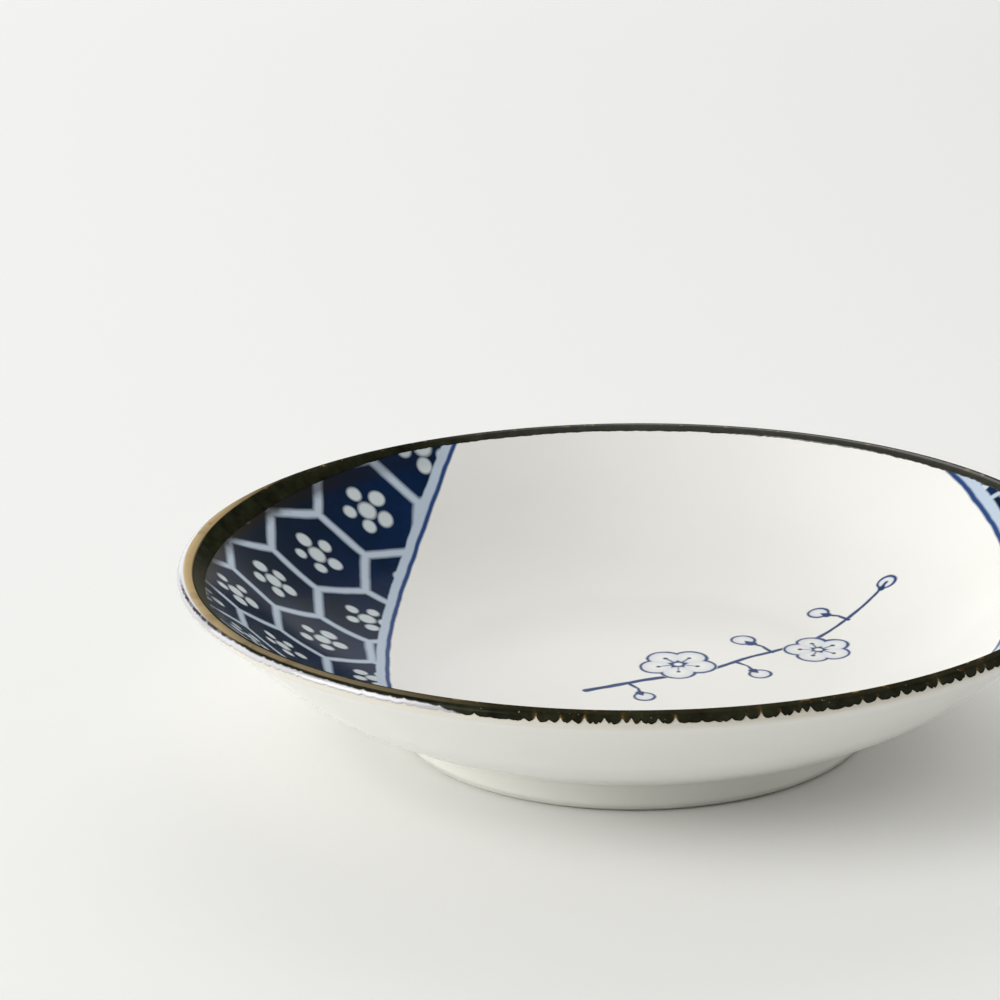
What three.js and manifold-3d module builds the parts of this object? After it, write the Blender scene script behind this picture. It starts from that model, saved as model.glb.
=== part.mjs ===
// A small footed dish of white porcelain, in millimetres. It stands on z = 0 with its axis on Z.
// The clay is one piece. Each glaze is a thin coat on it, and the painted panels lie in the inner coat.
import * as THREE from 'three';
import { mergeVertices } from 'three/addons/utils/BufferGeometryUtils.js';
import Module from 'manifold-3d';

const wasm = await Module();
wasm.setup();

const degrees = THREE.MathUtils.degToRad;
const point = (x, y) => new THREE.Vector2(x, y);

// Driving dimensions of the glazed dish
const rimDiameter = 100;
const dishHeight = 20.3;
const wallThickness = 1.8;          // at the lip, over both glazes
const shoulderRadius = 34;          // outside, where the wall turns in towards the foot
const shoulderTurn = degrees(28.4); // how much steeper the wall is at the rim than at the foot
const wellRadius = 30;              // inside, where the wall turns in to the floor
const floorHeight = 6;              // of the floor's upper side above the table
const floorThickness = 3.2;
const footDiameter = 53.8;
const footHeight = 3.7;             // where the shoulder meets the foot's outside
const footWidth = 3.4;              // of the foot ring, over its glazes
const footFillet = 1.2;             // in the corner between the foot and the wall
const recessFillet = 1;             // in the corner inside the foot ring
const footEdge = 0.4;               // rounding of the resting edge
const bareFoot = 0.5;               // height of the foot left without glaze

// Coats and paint
const glazeThickness = 0.3;
const ironThickness = 0.35;         // the rim's band stands a little proud of the clear glaze
const bandOutside = degrees(5);     // where the band ends on the lip's outside, above level
const bandInside = 0.6;             // how far the band runs down the wall below the lip's inside
const paintBed = 0.05;              // between the paint and the clay
const paintGap = 0.3;               // between the paint's edge and the glaze round it
const panelMargin = 0.8;            // clear glaze between a panel and the rim's band

// Crescent panels against the rim: middle direction, widest depth, span round the rim and width at the tips
const leftPanel = { middle: degrees(186), depth: 20, span: degrees(132), tip: 1.2 };
const rightPanel = { middle: degrees(-31), depth: 7, span: degrees(118), tip: 1.2 };

// Plum sprig on the floor: a stem with twigs, blossoms and buds, placed by parts of the stem's length
const stemStart = point(-5, -8);
const stemBend = point(15, -1);
const stemEndTurn = degrees(31);
const stemEndInset = 12.2;          // from the panels' side at the rim to the stem's end
const stemWidth = 0.9;
const twigWidth = 0.7;
const petalCount = 5;
const petalNotch = 0.16;            // depth between petals, as a part of the blossom's radius
const blossoms = [
  { along: 0.3, aside: 3, radius: 4.3 },
  { along: 0.66, aside: -2.8, radius: 3.8 },
];
const buds = [
  { along: 0.12, aside: -4, radius: 1.3 },
  { along: 0.44, aside: -4.4, radius: 1.4 },
  { along: 0.56, aside: 5, radius: 1.6 },
  { along: 0.84, aside: 4.4, radius: 1.4 },
  { along: 1, aside: 0, radius: 1.2 },
];

// Facets
const turns = 48;
const lipSteps = 5;
const lipSideSteps = 3;
const shoulderSteps = 5;
const wellSteps = 7;
const filletSteps = 2;
const panelSteps = 20;
const blossomSteps = 40;
const stemSteps = 12;
const budSteps = 10;

const rimRadius = rimDiameter / 2;
const lipRadius = wallThickness / 2;
const footRadius = footDiameter / 2;
const footInnerRadius = footRadius - footWidth;
const baseHeight = floorHeight - floorThickness;

// How far a layer's surface lies above the clear glaze: the clay lies below it, the iron band above
const onGlaze = 0;
const onClay = -glazeThickness;
const onIron = ironThickness - glazeThickness;
const onPaintBed = onClay + paintBed;

const heading = (angle) => point(Math.cos(angle), Math.sin(angle));
const lipCentre = point(rimRadius - lipRadius, dishHeight - lipRadius - onIron);
const footTop = point(footRadius, footHeight);

// The wall leaves the foot's top on the shoulder's arc, then runs straight until it touches the lip
const footToLip = lipCentre.clone().sub(footTop);
const lipOverWall = lipRadius - shoulderRadius * (1 - Math.cos(shoulderTurn));
const wallSlope = footToLip.angle() - Math.asin(lipOverWall / footToLip.length());
const shoulderCentre = footTop.clone()
  .addScaledVector(heading(wallSlope - shoulderTurn + Math.PI / 2), shoulderRadius);

// Directions in the section: up along the straight wall, and square to it on each side
const alongWall = heading(wallSlope);
const outwards = wallSlope - Math.PI / 2;
const inwards = wallSlope + Math.PI / 2;

// The foot's fillet touches the foot's upright side and the shoulder's arc from outside
const filletX = footRadius + footFillet;
const filletReach = shoulderRadius + footFillet;
const filletCentre = point(
  filletX,
  shoulderCentre.y - Math.sqrt(filletReach ** 2 - (filletX - shoulderCentre.x) ** 2),
);
const filletTurn = filletCentre.clone().sub(shoulderCentre).angle() - 2 * Math.PI;

// The well's arc touches the straight wall's inside and the floor, and ends below the rim's band
const wallTop = lipCentre.clone().addScaledVector(heading(inwards), lipRadius);
const wallLength = (wallTop.y - floorHeight) / Math.sin(wallSlope);
const wellRound = Math.min(wellRadius, (wallLength - bandInside) / Math.tan(wallSlope / 2));
const wellCentre = point(
  wallTop.x - wallLength * Math.cos(wallSlope) - wellRound * Math.tan(wallSlope / 2),
  floorHeight + wellRound,
);

// The recess under the base is rounded where it meets the foot's inside, above the bare edge
const recessRound = Math.min(recessFillet, baseHeight - bareFoot);
const recessCentre = point(footInnerRadius - recessRound, baseHeight - recessRound);

// A round stretch of the section
function arc(centre, radius, from, to, steps) {
  return Array.from({ length: steps + 1 }, (_, i) => {
    const angle = from + (to - from) * i / steps;
    return point(centre.x + radius * Math.cos(angle), centre.y + radius * Math.sin(angle));
  });
}

// Stretches of the section for a layer that lies lift above the clear glaze
function underBase(lift) {
  return [
    point(0, baseHeight - lift),
    ...arc(recessCentre, recessRound - lift, Math.PI / 2, 0, filletSteps),
    point(footInnerRadius - lift, bareFoot),
  ];
}

function upOutside(lift) {
  return [
    point(footRadius + lift, bareFoot),
    ...arc(filletCentre, footFillet - lift, Math.PI, filletTurn + Math.PI, filletSteps),
    ...arc(shoulderCentre, shoulderRadius + lift, filletTurn, outwards, shoulderSteps),
    ...arc(lipCentre, lipRadius + lift, outwards, bandOutside, lipSideSteps),
  ];
}

function bandEdge(lift) {
  return wallTop.clone().addScaledVector(heading(inwards), lift).addScaledVector(alongWall, -bandInside);
}

function overLip(lift) {
  return [...arc(lipCentre, lipRadius + lift, bandOutside, inwards, lipSteps), bandEdge(lift)];
}

function downInside(lift) {
  return [
    bandEdge(lift),
    ...arc(wellCentre, wellRound - lift, outwards, -Math.PI / 2, wellSteps),
    point(0, floorHeight + lift),
  ];
}

// The foot's resting edge, in bare clay
function underFoot() {
  const inner = point(footInnerRadius - onClay + footEdge, footEdge);
  const outer = point(footRadius + onClay - footEdge, footEdge);
  return [
    ...arc(inner, footEdge, -Math.PI, -Math.PI / 2, filletSteps),
    ...arc(outer, footEdge, -Math.PI / 2, 0, filletSteps),
  ];
}

// One outline from stretches that follow each other, with their shared ends kept once
function outline(...stretches) {
  const nearest = 1e-6;
  return stretches.flat().filter((here, i, all) => i === 0 || here.distanceTo(all[i - 1]) > nearest);
}

function turned(points) {
  return new THREE.LatheGeometry(points, turns).rotateX(Math.PI / 2);
}

// A coat between two layers of one stretch. Its outline starts and ends on the axis, or closes on itself
function coat(stretch, upper, lower) {
  const above = stretch(upper);
  const back = stretch(lower).reverse();
  if (above[0].x === 0) return outline(above, back);
  if (back[0].x === 0) return outline(back, above);
  return outline(above, back, [above[0]]);
}

// Booleans
function solid(geometry) {
  const bare = geometry.clone();
  bare.deleteAttribute('normal');
  bare.deleteAttribute('uv');
  const merged = mergeVertices(bare);
  const corners = merged.index.array;
  const kept = [];
  for (let i = 0; i < corners.length; i += 3) {
    const [a, b, c] = corners.slice(i, i + 3);
    if (a !== b && b !== c && c !== a) kept.push(a, b, c);
  }
  const vertProperties = merged.attributes.position.array;
  const triVerts = new Uint32Array(kept);
  return new wasm.Manifold(new wasm.Mesh({ numProp: 3, vertProperties, triVerts }));
}

function geometryOf(body) {
  const { vertProperties, triVerts } = body.getMesh();
  const geometry = new THREE.BufferGeometry();
  geometry.setAttribute('position', new THREE.BufferAttribute(vertProperties, 3));
  geometry.setIndex(new THREE.BufferAttribute(triVerts, 1));
  geometry.computeVertexNormals();
  return geometry;
}

// An upright prism over a plan outline, tall enough to pass through the dish
function prism(shape, curveSegments = 1) {
  return new THREE.ExtrudeGeometry(shape, { depth: dishHeight, bevelEnabled: false, curveSegments });
}

// How far the painting reaches from the axis
const rimSide = bandEdge(onGlaze).x - panelMargin;

// A crescent between the rim and a flatter border arc, wider all round by a margin
function crescent({ middle, depth, span, tip }, margin) {
  const tipRadius = rimSide - tip;
  const innermost = rimSide - depth;
  const halfSpan = span / 2;
  const borderShift = (tipRadius ** 2 - innermost ** 2) / (2 * (innermost - tipRadius * Math.cos(halfSpan)));
  const borderRadius = innermost + borderShift - margin;
  const borderTip = Math.atan2(tipRadius * Math.sin(halfSpan), tipRadius * Math.cos(halfSpan) + borderShift);
  const rimTurn = halfSpan + margin / rimSide;
  const borderTurn = borderTip + margin / borderRadius;
  const shape = new THREE.Shape();
  shape.absarc(0, 0, rimSide + margin, -rimTurn, rimTurn, false);
  shape.absarc(-borderShift, 0, borderRadius, borderTurn, -borderTurn, true);
  return solid(prism(shape, panelSteps).rotateZ(middle));
}

// A strip of even width along a plan curve
function ribbon(curve, width, steps) {
  const half = width / 2;
  const side = (sign) => Array.from({ length: steps + 1 }, (_, i) => {
    const tangent = curve.getTangent(i / steps);
    return curve.getPoint(i / steps).add(point(-tangent.y, tangent.x).multiplyScalar(sign * half));
  });
  return solid(prism(new THREE.Shape([...side(-1), ...side(1).reverse()])));
}

function rosette(centre, radius, notch, steps) {
  const rim = Array.from({ length: steps }, (_, i) => {
    const angle = 2 * Math.PI * i / steps;
    const reach = radius * (1 - notch * (1 - Math.abs(Math.cos(angle * petalCount / 2))));
    return point(centre.x + reach * Math.cos(angle), centre.y + reach * Math.sin(angle));
  });
  return solid(prism(new THREE.Shape(rim)));
}

// The sprig's stem with what grows on it, wider all round by a margin
function sprigPlan(margin) {
  const stemEnd = heading(stemEndTurn).multiplyScalar(rimSide - stemEndInset);
  const stem = new THREE.QuadraticBezierCurve(stemStart, stemBend, stemEnd);
  const beside = ({ along, aside }) => {
    const tangent = stem.getTangent(along);
    return stem.getPoint(along).add(point(-tangent.y, tangent.x).multiplyScalar(aside));
  };
  const twig = (growth) => {
    const line = new THREE.LineCurve(stem.getPoint(growth.along), beside(growth));
    return ribbon(line, twigWidth + 2 * margin, 1);
  };
  const pieces = [
    ...blossoms.map((each) => rosette(beside(each), each.radius + margin, petalNotch, blossomSteps)),
    ...buds.map((each) => rosette(beside(each), each.radius + margin, 0, budSteps)),
    ...buds.filter((each) => each.aside !== 0).map(twig),
  ];
  const start = ribbon(stem, stemWidth + 2 * margin, stemSteps);
  return pieces.reduce((joined, piece) => joined.add(piece), start);
}

// Paint is cut from the coat's upper part, and its bed is cut from the glaze
const paintLayer = solid(turned(coat(downInside, onGlaze, onPaintBed)));
const plans = {
  left_pattern: (margin) => crescent(leftPanel, margin),
  right_pattern: (margin) => crescent(rightPanel, margin),
  sprig: sprigPlan,
};
const paints = Object.entries(plans).map(([name, plan]) => [name, paintLayer.intersect(plan(0))]);
const glazeInside = Object.values(plans).reduce(
  (glaze, plan) => glaze.subtract(plan(paintGap)),
  solid(turned(coat(downInside, onGlaze, onClay))),
);

// The clay's whole section, from under the base round the foot and over the lip to the floor
const clayOutline = outline(
  underBase(onClay),
  underFoot(),
  upOutside(onClay),
  overLip(onClay),
  downInside(onClay),
);

// Finishes
const porcelain = new THREE.MeshStandardMaterial({ color: 0xd9d6cb, roughness: 0.7, metalness: 0 });
const clearGlaze = new THREE.MeshStandardMaterial({ color: 0xe9e9e4, roughness: 0.15, metalness: 0 });
const ironGlaze = new THREE.MeshStandardMaterial({ color: 0x332f26, roughness: 0.25, metalness: 0 });
const cobalt = new THREE.MeshStandardMaterial({ color: 0x17305f, roughness: 0.15, metalness: 0 });

const dish = new THREE.Group();
dish.name = 'dish';

function addPiece(name, geometry, material) {
  const piece = new THREE.Mesh(geometry, material);
  piece.name = name;
  dish.add(piece);
}

addPiece('clay_body', turned(clayOutline), porcelain);
addPiece('inner_glaze', geometryOf(glazeInside), clearGlaze);
addPiece('outer_glaze', turned(coat(upOutside, onGlaze, onClay)), clearGlaze);
addPiece('base_glaze', turned(coat(underBase, onGlaze, onClay)), clearGlaze);
addPiece('rim_glaze', turned(coat(overLip, onIron, onClay)), ironGlaze);
for (const [name, body] of paints) addPiece(name, geometryOf(body), cobalt);

export default dish;
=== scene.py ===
# Small footed dish in white porcelain: clear glaze, an iron-brown lip and blue painting inside.
import math

import bpy
from mathutils import Matrix, Vector


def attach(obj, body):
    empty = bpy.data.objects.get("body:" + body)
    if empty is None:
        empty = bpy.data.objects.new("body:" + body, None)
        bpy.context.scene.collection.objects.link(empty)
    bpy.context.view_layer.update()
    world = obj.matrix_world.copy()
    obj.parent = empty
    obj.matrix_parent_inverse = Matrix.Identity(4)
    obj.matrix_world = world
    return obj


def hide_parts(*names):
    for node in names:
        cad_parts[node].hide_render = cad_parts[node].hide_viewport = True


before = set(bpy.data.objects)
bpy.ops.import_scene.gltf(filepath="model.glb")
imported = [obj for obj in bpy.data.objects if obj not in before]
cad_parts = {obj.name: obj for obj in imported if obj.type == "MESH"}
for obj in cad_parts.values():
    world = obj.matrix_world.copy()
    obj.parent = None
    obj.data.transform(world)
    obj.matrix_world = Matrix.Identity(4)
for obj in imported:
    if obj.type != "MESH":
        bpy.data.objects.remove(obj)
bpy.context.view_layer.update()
print("frame loaded with", len(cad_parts), "nodes")

mm = 0.001
quarter = math.pi / 2


# Sockets and nodes

class Wire:
    def __init__(self, tree, socket=None):
        self.tree = tree
        self.socket = socket

    # any node: its type, its settings, then values or links for its sockets
    def node(self, kind, settings=None, sockets=None, output=0):
        made = self.tree.nodes.new(kind)
        for name, value in (settings or {}).items():
            setattr(made, name, value)
        for key, value in (sockets or {}).items():
            if isinstance(value, Wire):
                self.tree.links.new(value.socket, made.inputs[key])
            else:
                made.inputs[key].default_value = value
        return Wire(self.tree, made.outputs[output])

    def other(self, output):
        return Wire(self.tree, self.socket.node.outputs[output])

    def math(self, operation, first, second=0.0, third=0.0, clamp=False):
        settings = {"operation": operation, "use_clamp": clamp}
        return self.node("ShaderNodeMath", settings, {0: first, 1: second, 2: third})

    def __add__(self, value):
        return self.math("ADD", self, value)

    def __radd__(self, value):
        return self.math("ADD", value, self)

    def __sub__(self, value):
        return self.math("SUBTRACT", self, value)

    def __rsub__(self, value):
        return self.math("SUBTRACT", value, self)

    def __mul__(self, value):
        return self.math("MULTIPLY", self, value)

    def __rmul__(self, value):
        return self.math("MULTIPLY", value, self)

    def __truediv__(self, value):
        return self.math("DIVIDE", self, value)

    def __rtruediv__(self, value):
        return self.math("DIVIDE", value, self)

    def __neg__(self):
        return self.math("MULTIPLY", self, -1.0)

    def __abs__(self):
        return self.math("ABSOLUTE", self)

    def __pow__(self, value):
        return self.math("POWER", self, value)

    def __mod__(self, value):
        return self.math("FLOORED_MODULO", self, value)

    def least(self, value):
        return self.math("MINIMUM", self, value)

    def most(self, value):
        return self.math("MAXIMUM", self, value)

    def cosine(self):
        return self.math("COSINE", self)

    def sine(self):
        return self.math("SINE", self)

    def clamped(self):
        return self.math("ADD", self, 0.0, clamp=True)

    # 1 where this distance is below zero, with a soft edge
    def inside(self, soft):
        return self.math("MULTIPLY_ADD", self, -1 / soft, 0.5, clamp=True)

    # 0 to 1 as this value goes from low to high
    def ramp(self, low, high):
        return self.math("MULTIPLY_ADD", self, 1 / (high - low), -low / (high - low), clamp=True)

    def mix(self, first, second):
        settings = {"data_type": "RGBA"}
        return self.node("ShaderNodeMix", settings, {0: self, 6: first, 7: second}, 2)

    def choose(self, first, second):
        return self.node("ShaderNodeMix", {"data_type": "FLOAT"}, {0: self, 2: first, 3: second})

    def parts(self):
        split = self.node("ShaderNodeSeparateXYZ", {}, {0: self})
        return [split, split.other(1), split.other(2)]

    def joined(self, x, y, z):
        return self.node("ShaderNodeCombineXYZ", {}, {0: x, 1: y, 2: z})

    def vector(self, operation, value):
        return self.node("ShaderNodeVectorMath", {"operation": operation}, {0: self, 1: value})

    def scaled(self, factor):
        return self.node("ShaderNodeVectorMath", {"operation": "SCALE"}, {0: self, 3: factor})

    def attribute(self, name, output="Fac"):
        return self.node("ShaderNodeAttribute", {"attribute_name": name}, {}, output)


def hypot(x, y):
    return (x * x + y * y) ** 0.5


def noise(wire, vector, scale, detail=2.0, rough=0.5, output=0):
    sockets = {"Vector": vector, "Scale": scale, "Detail": detail, "Roughness": rough}
    return wire.node("ShaderNodeTexNoise", {}, sockets, output)


# Section of the dish in mm, r across and z up
dish = {
    "rimDiameter": 100,
    "dishHeight": 20.3,
    "wallThickness": 1.8,
    "shoulderRadius": 34,
    "shoulderTurn": math.radians(28.4),
    "wellRadius": 30,
    "floorHeight": 6,
    "floorThickness": 3.2,
    "footDiameter": 53.8,
    "footHeight": 3.7,
    "footWidth": 3.4,
    "footFillet": 1.2,
    "recessFillet": 1,
    "footEdge": 0.4,
    "bareFoot": 0.5,
    "glazeThickness": 0.3,
    "ironProud": 0.05,
    "glazeEdge": 0.25,     # how soon the coat thins out above the bare foot
    "coatEnd": ((0.9, -0.05), (0.3, 0.0)),     # its end: share of the thickness inwards, mm up
    "coatClear": 0.5,      # mm outside the foot that its end doesn't reach
}
# how many straight steps each stretch of the section has
sectionSteps = {
    "base": 12,
    "recess": 8,
    "footInside": 3,
    "footEdge": 6,
    "footOutside": 4,
    "fillet": 6,
    "shoulder": 24,
    "outerFine": 4,        # times as many for the visible outside
    "outerWall": 6,
    "outerLip": 12,
    "innerLip": 10,
    "innerWall": 10,
    "well": 28,
    "floor": 24,
}

lipRadius = dish["wallThickness"] / 2
footRadius = dish["footDiameter"] / 2
footInner = footRadius - dish["footWidth"]
baseHeight = dish["floorHeight"] - dish["floorThickness"]
onClay = -dish["glazeThickness"]


def heading(angle):
    return Vector((math.cos(angle), math.sin(angle)))


def turnOf(direction):
    return math.atan2(direction.y, direction.x)


lipCentre = Vector((
    dish["rimDiameter"] / 2 - lipRadius,
    dish["dishHeight"] - lipRadius - dish["ironProud"],
))
footTop = Vector((footRadius, dish["footHeight"]))
footToLip = lipCentre - footTop
lipOverWall = lipRadius - dish["shoulderRadius"] * (1 - math.cos(dish["shoulderTurn"]))
wallSlope = turnOf(footToLip) - math.asin(lipOverWall / footToLip.length)
shoulderSlope = wallSlope - dish["shoulderTurn"]
shoulderCentre = footTop + dish["shoulderRadius"] * heading(shoulderSlope + quarter)
outwards = wallSlope - quarter
inwards = wallSlope + quarter

filletX = footRadius + dish["footFillet"]
filletReach = dish["shoulderRadius"] + dish["footFillet"]
filletDrop = math.sqrt(filletReach ** 2 - (filletX - shoulderCentre.x) ** 2)
filletCentre = Vector((filletX, shoulderCentre.y - filletDrop))
filletTurn = turnOf(filletCentre - shoulderCentre)

wallTop = lipCentre + lipRadius * heading(inwards)
wallLength = (wallTop.y - dish["floorHeight"]) / math.sin(wallSlope)
wellCentre = Vector((
    wallTop.x - wallLength * math.cos(wallSlope) - dish["wellRadius"] * math.tan(wallSlope / 2),
    dish["floorHeight"] + dish["wellRadius"],
))
recessCentre = Vector((footInner - dish["recessFillet"], baseHeight - dish["recessFillet"]))


def arc(centre, radius, start, end, steps):
    return [centre + radius * heading(start + (end - start) * i / steps) for i in range(steps + 1)]


def line(start, end, steps):
    return [start.lerp(end, i / steps) for i in range(steps + 1)]


# Stretches of the section, lift above the clear glaze's surface
def underBase(lift):
    steps = sectionSteps
    start = Vector((0, baseHeight - lift))
    bend = arc(recessCentre, dish["recessFillet"] - lift, quarter, 0, steps["recess"])
    end = Vector((footInner - lift, dish["bareFoot"]))
    base = line(start, bend[0], steps["base"])[:-1]
    return base + bend + line(bend[-1], end, steps["footInside"])[1:]


def upOutside(lift, lipEnd, fine=1):
    steps = sectionSteps
    start = Vector((footRadius + lift, dish["bareFoot"]))
    filletRadius = dish["footFillet"] - lift
    bend = arc(filletCentre, filletRadius, math.pi, filletTurn + math.pi, steps["fillet"] * fine)
    shoulderRadius = dish["shoulderRadius"] + lift
    shoulder = arc(shoulderCentre, shoulderRadius, filletTurn, outwards, steps["shoulder"] * fine)
    lip = arc(lipCentre, lipRadius + lift, outwards, lipEnd, steps["outerLip"])
    wall = line(shoulder[-1], lip[0], steps["outerWall"])[1:-1]
    return line(start, bend[0], steps["footOutside"])[:-1] + bend + shoulder[1:] + wall + lip


def downInside(lift, lipStart):
    steps = sectionSteps
    lip = arc(lipCentre, lipRadius + lift, lipStart, inwards, steps["innerLip"])
    well = arc(wellCentre, dish["wellRadius"] - lift, outwards, -quarter, steps["well"])
    wall = line(lip[-1], well[0], steps["innerWall"])[1:-1]
    centre = Vector((0, dish["floorHeight"] + lift))
    return lip + wall + well + line(well[-1], centre, steps["floor"])[1:]


def underFoot():
    edge = dish["footEdge"]
    steps = sectionSteps["footEdge"]
    inner = Vector((footInner - onClay + edge, edge))
    outer = Vector((footRadius + onClay - edge, edge))
    return arc(inner, edge, -math.pi, -quarter, steps) + arc(outer, edge, -quarter, 0, steps)


# Geometry Nodes: turns a section round the dish's axis. The lip's band also runs down in beads.
turnInputs = {
    "Turns": 256,
    "Lip Place": lipCentre.x * mm,
    "Lip Height": lipCentre.y * mm,
    "Wall Slope": wallSlope,
    "Bead Spacing": 0.0012,
    "Bead Round": 0.42,
    "Small Beads": 0.0,
    "Notch Depth": 0.0,
    "Near Left": 0.0,
    "Near Left Calm": 0.0,
    "Ragged": 0.0,
    "Inner Wave": 0.0,
    "Inner Run": 0.0,
    "Run Middle": 0.0,
    "Seam": 0.05,
    "Seed": 3.0,
    "Finish": None,
}
socketKinds = {int: "NodeSocketInt", float: "NodeSocketFloat", type(None): "NodeSocketMaterial"}
# patterns along the lip, their scales for one bead spacing
beadPattern = {
    "smallScale": 2.1,
    "rippleScale": 1.7,
    "slowScale": 0.11,
    "slowShare": 0.5,          # of the notches' depth
    "biteScale": 0.7,
    "bite": (0.37, 0.6),       # noise levels between the shallowest and the deepest notches
    "leastBite": 0.2,
    "flank": 2.6,              # power of a notch's flanks
    "smallBite": (0.42, 0.6),
    "thinFade": (0.58, 0.72),  # cosines of the angle to the near left side
    "runFade": (0.72, 1.0),    # cosines of the angle to the run inside
    "weld": 1e-6,
}


def makeTurnTree():
    tree = bpy.data.node_groups.new("turnOnAxis", "GeometryNodeTree")
    face = tree.interface
    face.new_socket("Section", in_out="INPUT", socket_type="NodeSocketGeometry")
    for name, value in turnInputs.items():
        socket = face.new_socket(name, in_out="INPUT", socket_type=socketKinds[type(value)])
        if value is not None:
            socket.default_value = value
    face.new_socket("Dish Piece", in_out="OUTPUT", socket_type="NodeSocketGeometry")
    section = Wire(tree).node("NodeGroupInput")

    def given(name):
        return section.other(name)

    def sampled(kind, value):
        sockets = {"Geometry": section, "Value": value, "Index": row}
        return section.node("GeometryNodeSampleIndex", {"data_type": kind}, sockets)

    def numbered(name):
        kind = {"data_type": "FLOAT"}
        return sampled("FLOAT", section.node("GeometryNodeInputNamedAttribute", kind, {"Name": name}))

    # one column of points for each step round, one row for each point of the section
    rows = section.node("GeometryNodeAttributeDomainSize", {"component": "MESH"}, {0: section})
    columns = given("Turns") + 1
    grid = section.node("GeometryNodeMeshGrid", {}, {"Vertices X": columns, "Vertices Y": rows})
    index = section.node("GeometryNodeInputIndex")
    row = index % rows
    around = (index - row) / rows / given("Turns") * (2 * math.pi)
    across, unused, up = sampled("FLOAT_VECTOR", section.node("GeometryNodeInputPosition")).parts()
    reach = numbered("alongSection")
    pull = numbered("pull")
    slide = numbered("slide")
    place = numbered("acrossBand")

    # beads: drops of uneven width side by side, with notches of uneven depth, none at the seam
    circle = section.joined(around.cosine(), around.sine(), given("Seed"))
    onRim = circle.scaled(given("Lip Place") / given("Bead Spacing"))
    way = around * given("Lip Place") / given("Bead Spacing") + given("Seed")
    edges = {"voronoi_dimensions": "1D", "feature": "DISTANCE_TO_EDGE"}
    gap = section.node("ShaderNodeTexVoronoi", edges, {"W": way, "Scale": 1.0, "Randomness": 1.0})
    sockets = {"W": way, "Scale": beadPattern["smallScale"], "Randomness": 1.0}
    smallGap = section.node("ShaderNodeTexVoronoi", edges, sockets)
    ripple = noise(section, onRim, beadPattern["rippleScale"], 3.0)
    slow = noise(section, onRim, beadPattern["slowScale"])
    bite = noise(section, onRim, beadPattern["biteScale"], 1.0)
    seam = (around / given("Seam")).least((2 * math.pi - around) / given("Seam")).clamped()
    thinSide = (around - given("Near Left")).cosine().ramp(*beadPattern["thinFade"])
    least = beadPattern["leastBite"]
    depth = (least + (1 - least) * bite.ramp(*beadPattern["bite"])) * seam
    depth = depth * (1 - given("Near Left Calm") * thinSide)
    near = 1 - (gap / given("Bead Round")).least(1.0)
    nearSmall = 1 - (smallGap / given("Bead Round")).least(1.0)
    cut = near ** beadPattern["flank"]
    cutSmall = nearSmall ** beadPattern["flank"]
    cut = cut.most(given("Small Beads") * cutSmall * ripple.ramp(*beadPattern["smallBite"]))
    deep = beadPattern["slowShare"] * (slow - 0.5) - cut * depth
    run = given("Notch Depth") * deep + given("Ragged") * (ripple - 0.5)
    turn = -(pull * run)
    fromLip = across - given("Lip Place")
    overLip = up - given("Lip Height")
    radius = given("Lip Place") + fromLip * turn.cosine() - overLip * turn.sine()
    height = given("Lip Height") + fromLip * turn.sine() + overLip * turn.cosine()
    runSide = (around - given("Run Middle")).cosine().ramp(*beadPattern["runFade"])
    wave = slide * (given("Inner Wave") * (ripple + slow - 1.0) - given("Inner Run") * runSide)
    radius = radius + wave * given("Wall Slope").cosine()
    height = height + wave * given("Wall Slope").sine()
    spot = section.joined(radius * around.cosine(), radius * around.sine(), height)

    shape = section.node("GeometryNodeSetPosition", {}, {"Geometry": grid, "Position": spot})
    drape = section.joined(reach * around.cosine(), reach * around.sine(), 0.0)
    for name, kind, value in (
        ("drape", "FLOAT_VECTOR", drape),
        ("acrossBand", "FLOAT", place),
        ("notch", "FLOAT", near * depth),
    ):
        sockets = {"Geometry": shape, "Name": name, "Value": value}
        shape = section.node("GeometryNodeStoreNamedAttribute", {"data_type": kind}, sockets)
    sockets = {"Geometry": shape, "Distance": beadPattern["weld"]}
    shape = section.node("GeometryNodeMergeByDistance", {}, sockets)
    shape = section.node("GeometryNodeSetShadeSmooth", {}, {"Geometry": shape})
    shape = section.node("GeometryNodeRealizeInstances", {}, {"Geometry": shape})
    shape = section.node("GeometryNodeSetMaterial", {}, {"Geometry": shape, "Material": given("Finish")})
    end = tree.nodes.new("NodeGroupOutput")
    tree.links.new(shape.socket, end.inputs[0])
    return tree


turnTree = makeTurnTree()
pieceTurns = {
    "clayBody": 192,
    "innerGlaze": 320,
    "outerGlaze": 440,
    "baseGlaze": 192,
    "rimBand": 3200,
}


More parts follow.
